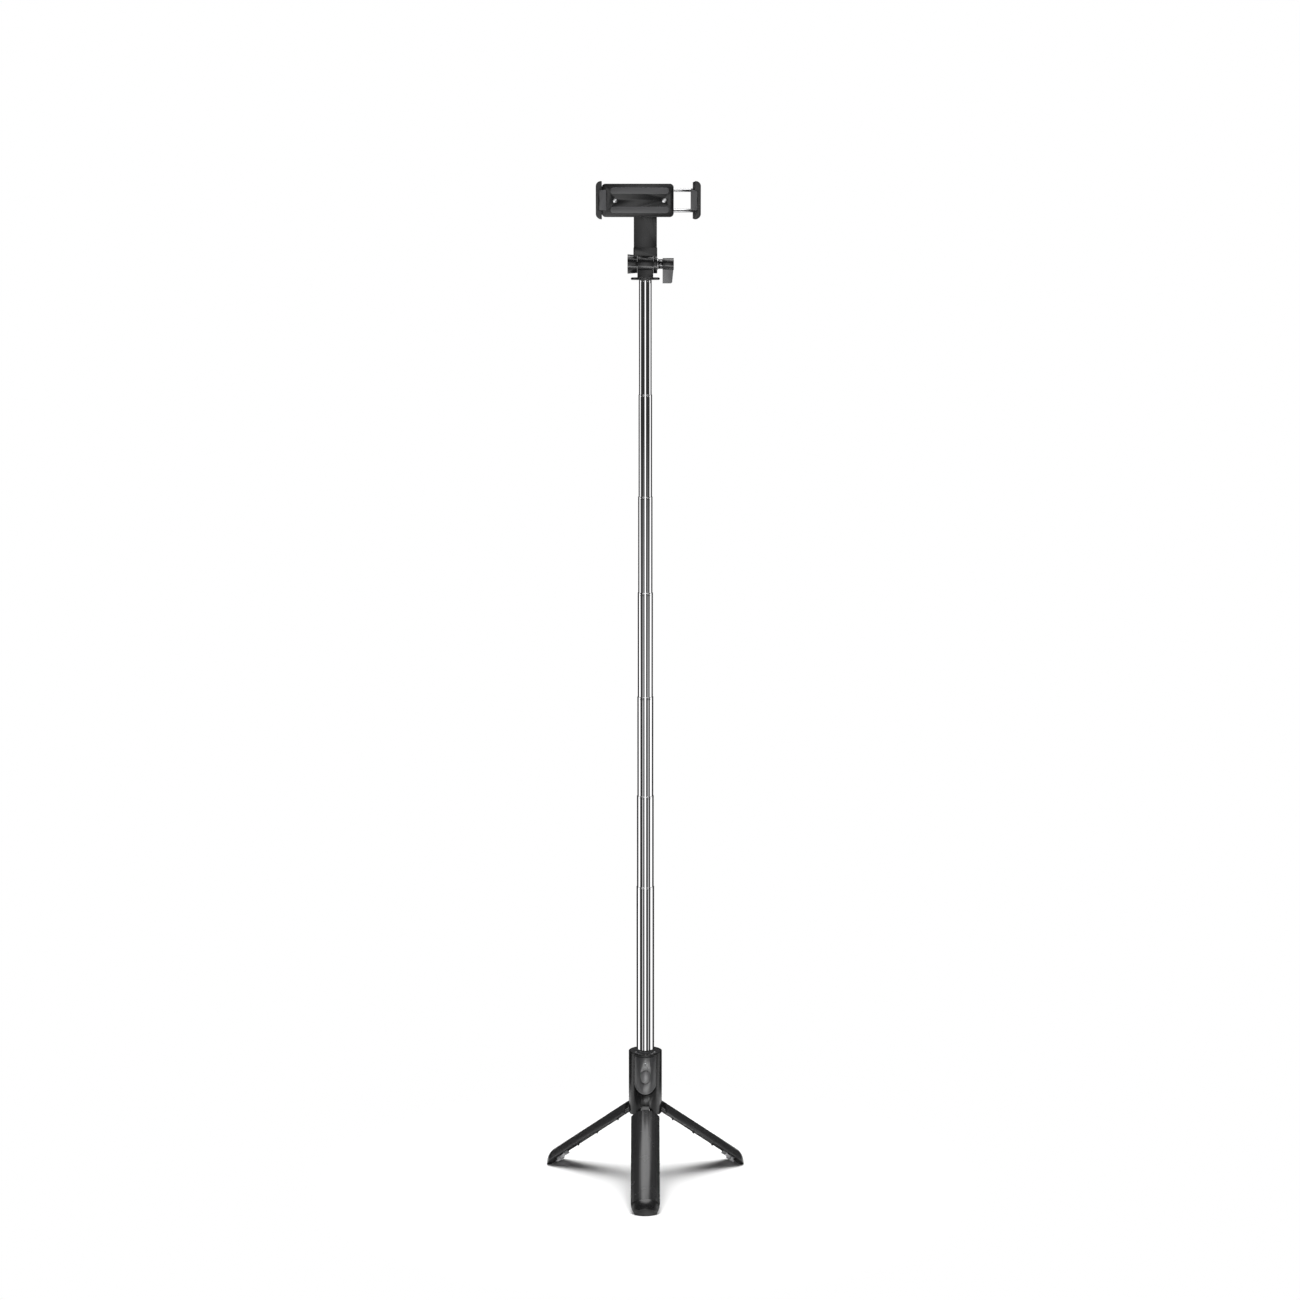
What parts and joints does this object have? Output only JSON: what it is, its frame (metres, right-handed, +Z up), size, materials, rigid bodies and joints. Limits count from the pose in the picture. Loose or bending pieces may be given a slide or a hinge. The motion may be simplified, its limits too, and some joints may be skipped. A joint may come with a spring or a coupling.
{
  "type": "selfie stick",
  "caption": "Selfie stick on a folding tripod handle, with a telescopic chromed pole, a tilting and turning phone clamp and a remote control held in the handle.",
  "frame": {"origin": "on the surface that the feet stand on, on the pole's axis", "axes": "+Z up along the pole, -Y the front where the remote and the phone face, +X to the lever's side"},
  "size_m": [0.1668, 0.1479, 0.821],
  "materials": {
    "housing_black": "fine moulded satin",
    "collar_black": "semi-gloss moulded",
    "leg_black": "satin gloss, drawn along the leg",
    "tip_black": "semi-gloss",
    "sole_rubber": "matt rubber",
    "catch_grey": "light grey moulded",
    "remote_grey": "satin",
    "button_grey": "satin",
    "board_green": "solder resist",
    "cell_steel": "nickel plated",
    "lamp_clear": "clear",
    "pole_chrome": "bright chrome",
    "glide_brass": "spring bronze",
    "head_black": "semi-gloss moulded",
    "lever_black": "satin",
    "screw_black": "black oxide",
    "screw_steel": "zinc and nickel plated",
    "spring_steel": "music wire",
    "clamp_black": "semi-gloss moulded",
    "pad_grey": "satin soft rubber"
  },
  "bodies": {
    "handle": {"handle_housing": "housing_black", "housing_collar": "collar_black", "pole_bush": "collar_black", "hinge_pins": "screw_steel"},
    "leg_front": {"leg_front_shell": "leg_black", "leg_front_knuckle": "tip_black", "leg_front_tip": "tip_black", "leg_front_sole": "sole_rubber", "leg_front_catch": "catch_grey"},
    "leg_left": {"leg_left_shell": "leg_black", "leg_left_knuckle": "tip_black", "leg_left_tip": "tip_black", "leg_left_sole": "sole_rubber", "leg_left_catch": "catch_grey"},
    "leg_right": {"leg_right_shell": "leg_black", "leg_right_knuckle": "tip_black", "leg_right_tip": "tip_black", "leg_right_sole": "sole_rubber", "leg_right_catch": "catch_grey"},
    "remote": {"remote_front": "remote_grey", "remote_back": "remote_grey", "remote_board": "board_green", "coin_cell": "cell_steel", "cell_clip": "cell_steel", "dome_switch": "cell_steel", "indicator": "lamp_clear"},
    "button": {"remote_button": "button_grey"},
    "tube_7": {"tube_7": "pole_chrome", "glide_7": "glide_brass"},
    "tube_6": {"tube_6": "pole_chrome", "glide_6": "glide_brass"},
    "tube_5": {"tube_5": "pole_chrome", "glide_5": "glide_brass"},
    "tube_4": {"tube_4": "pole_chrome", "glide_4": "glide_brass"},
    "tube_3": {"tube_3": "pole_chrome", "glide_3": "glide_brass"},
    "tube_2": {"tube_2": "pole_chrome", "glide_2": "glide_brass"},
    "tube_1": {"tube_1": "pole_chrome", "glide_1": "glide_brass"},
    "head": {"head_base": "head_black"},
    "arm": {"tilt_arm": "head_black", "tilt_nut": "screw_steel", "tilt_washer": "screw_steel", "swivel_screw": "screw_steel", "swivel_washer": "screw_steel"},
    "lever": {"tilt_screw": "screw_black", "tilt_lever": "lever_black"},
    "clamp": {"clamp_body": "clamp_black", "clamp_cover": "clamp_black", "cover_screws": "screw_steel", "back_pad": "pad_grey", "jaw_fixed": "clamp_black", "pad_fixed": "pad_grey", "clamp_springs": "spring_steel"},
    "jaw": {"jaw_moving": "clamp_black", "pad_moving": "pad_grey", "guide_rods": "screw_steel"}
  },
  "joints": [
    {"name": "leg_front_fold", "type": "hinge", "parent": "handle", "child": "leg_front", "pos_m": [0, -0.0102, 0.0649], "axis": [1, 0, 0], "range_deg": [0, 54]},
    {"name": "leg_left_fold", "type": "hinge", "parent": "handle", "child": "leg_left", "pos_m": [-0.00883, 0.0051, 0.0649], "axis": [-0.5, -0.866, 0], "range_deg": [0, 54]},
    {"name": "leg_right_fold", "type": "hinge", "parent": "handle", "child": "leg_right", "pos_m": [0.00883, 0.0051, 0.0649], "axis": [-0.5, 0.866, 0], "range_deg": [0, 54]},
    {"name": "remote_out", "type": "slide", "parent": "handle", "child": "remote", "axis": [0, -1, 0], "range_m": [0, 0.03]},
    {"name": "button_press", "type": "slide", "parent": "remote", "child": "button", "axis": [0, 1, 0], "range_m": [0, 0.0004], "stiffness_N_per_m": 1500},
    {"name": "tube_7_slide", "type": "slide", "parent": "handle", "child": "tube_7", "axis": [0, 0, 1], "range_m": [-0.117, 0]},
    {"name": "tube_6_slide", "type": "slide", "parent": "tube_7", "child": "tube_6", "axis": [0, 0, 1], "range_m": [-0.0738, 0.0626]},
    {"name": "tube_5_slide", "type": "slide", "parent": "tube_6", "child": "tube_5", "axis": [0, 0, 1], "range_m": [-0.08, 0.0504]},
    {"name": "tube_4_slide", "type": "slide", "parent": "tube_5", "child": "tube_4", "axis": [0, 0, 1], "range_m": [-0.0833, 0.0411]},
    {"name": "tube_3_slide", "type": "slide", "parent": "tube_4", "child": "tube_3", "axis": [0, 0, 1], "range_m": [-0.076, 0.0424]},
    {"name": "tube_2_slide", "type": "slide", "parent": "tube_3", "child": "tube_2", "axis": [0, 0, 1], "range_m": [-0.08, 0.0324]},
    {"name": "tube_1_slide", "type": "slide", "parent": "tube_2", "child": "tube_1", "axis": [0, 0, 1], "range_m": [-0.0893, 0.0171]},
    {"name": "head_turn", "type": "hinge", "parent": "tube_1", "child": "head", "pos_m": [0, 0, 0.7437], "axis": [0, 0, 1], "continuous": true},
    {"name": "tilt", "type": "hinge", "parent": "head", "child": "arm", "pos_m": [0, 0, 0.7564], "axis": [1, 0, 0], "range_deg": [-90, 90]},
    {"name": "lever_turn", "type": "hinge", "parent": "arm", "child": "lever", "pos_m": [0.019, 0, 0.7564], "axis": [1, 0, 0], "range_deg": [0, 180]},
    {"name": "clamp_turn", "type": "hinge", "parent": "arm", "child": "clamp", "pos_m": [0, -0.0104, 0.8063], "axis": [0, -1, 0], "range_deg": [-180, 180]},
    {"name": "jaw_slide", "type": "slide", "parent": "clamp", "child": "jaw", "axis": [1, 0, 0], "range_m": [-0.0148, 0.0186], "deforming": ["clamp_springs"]}
  ]
}
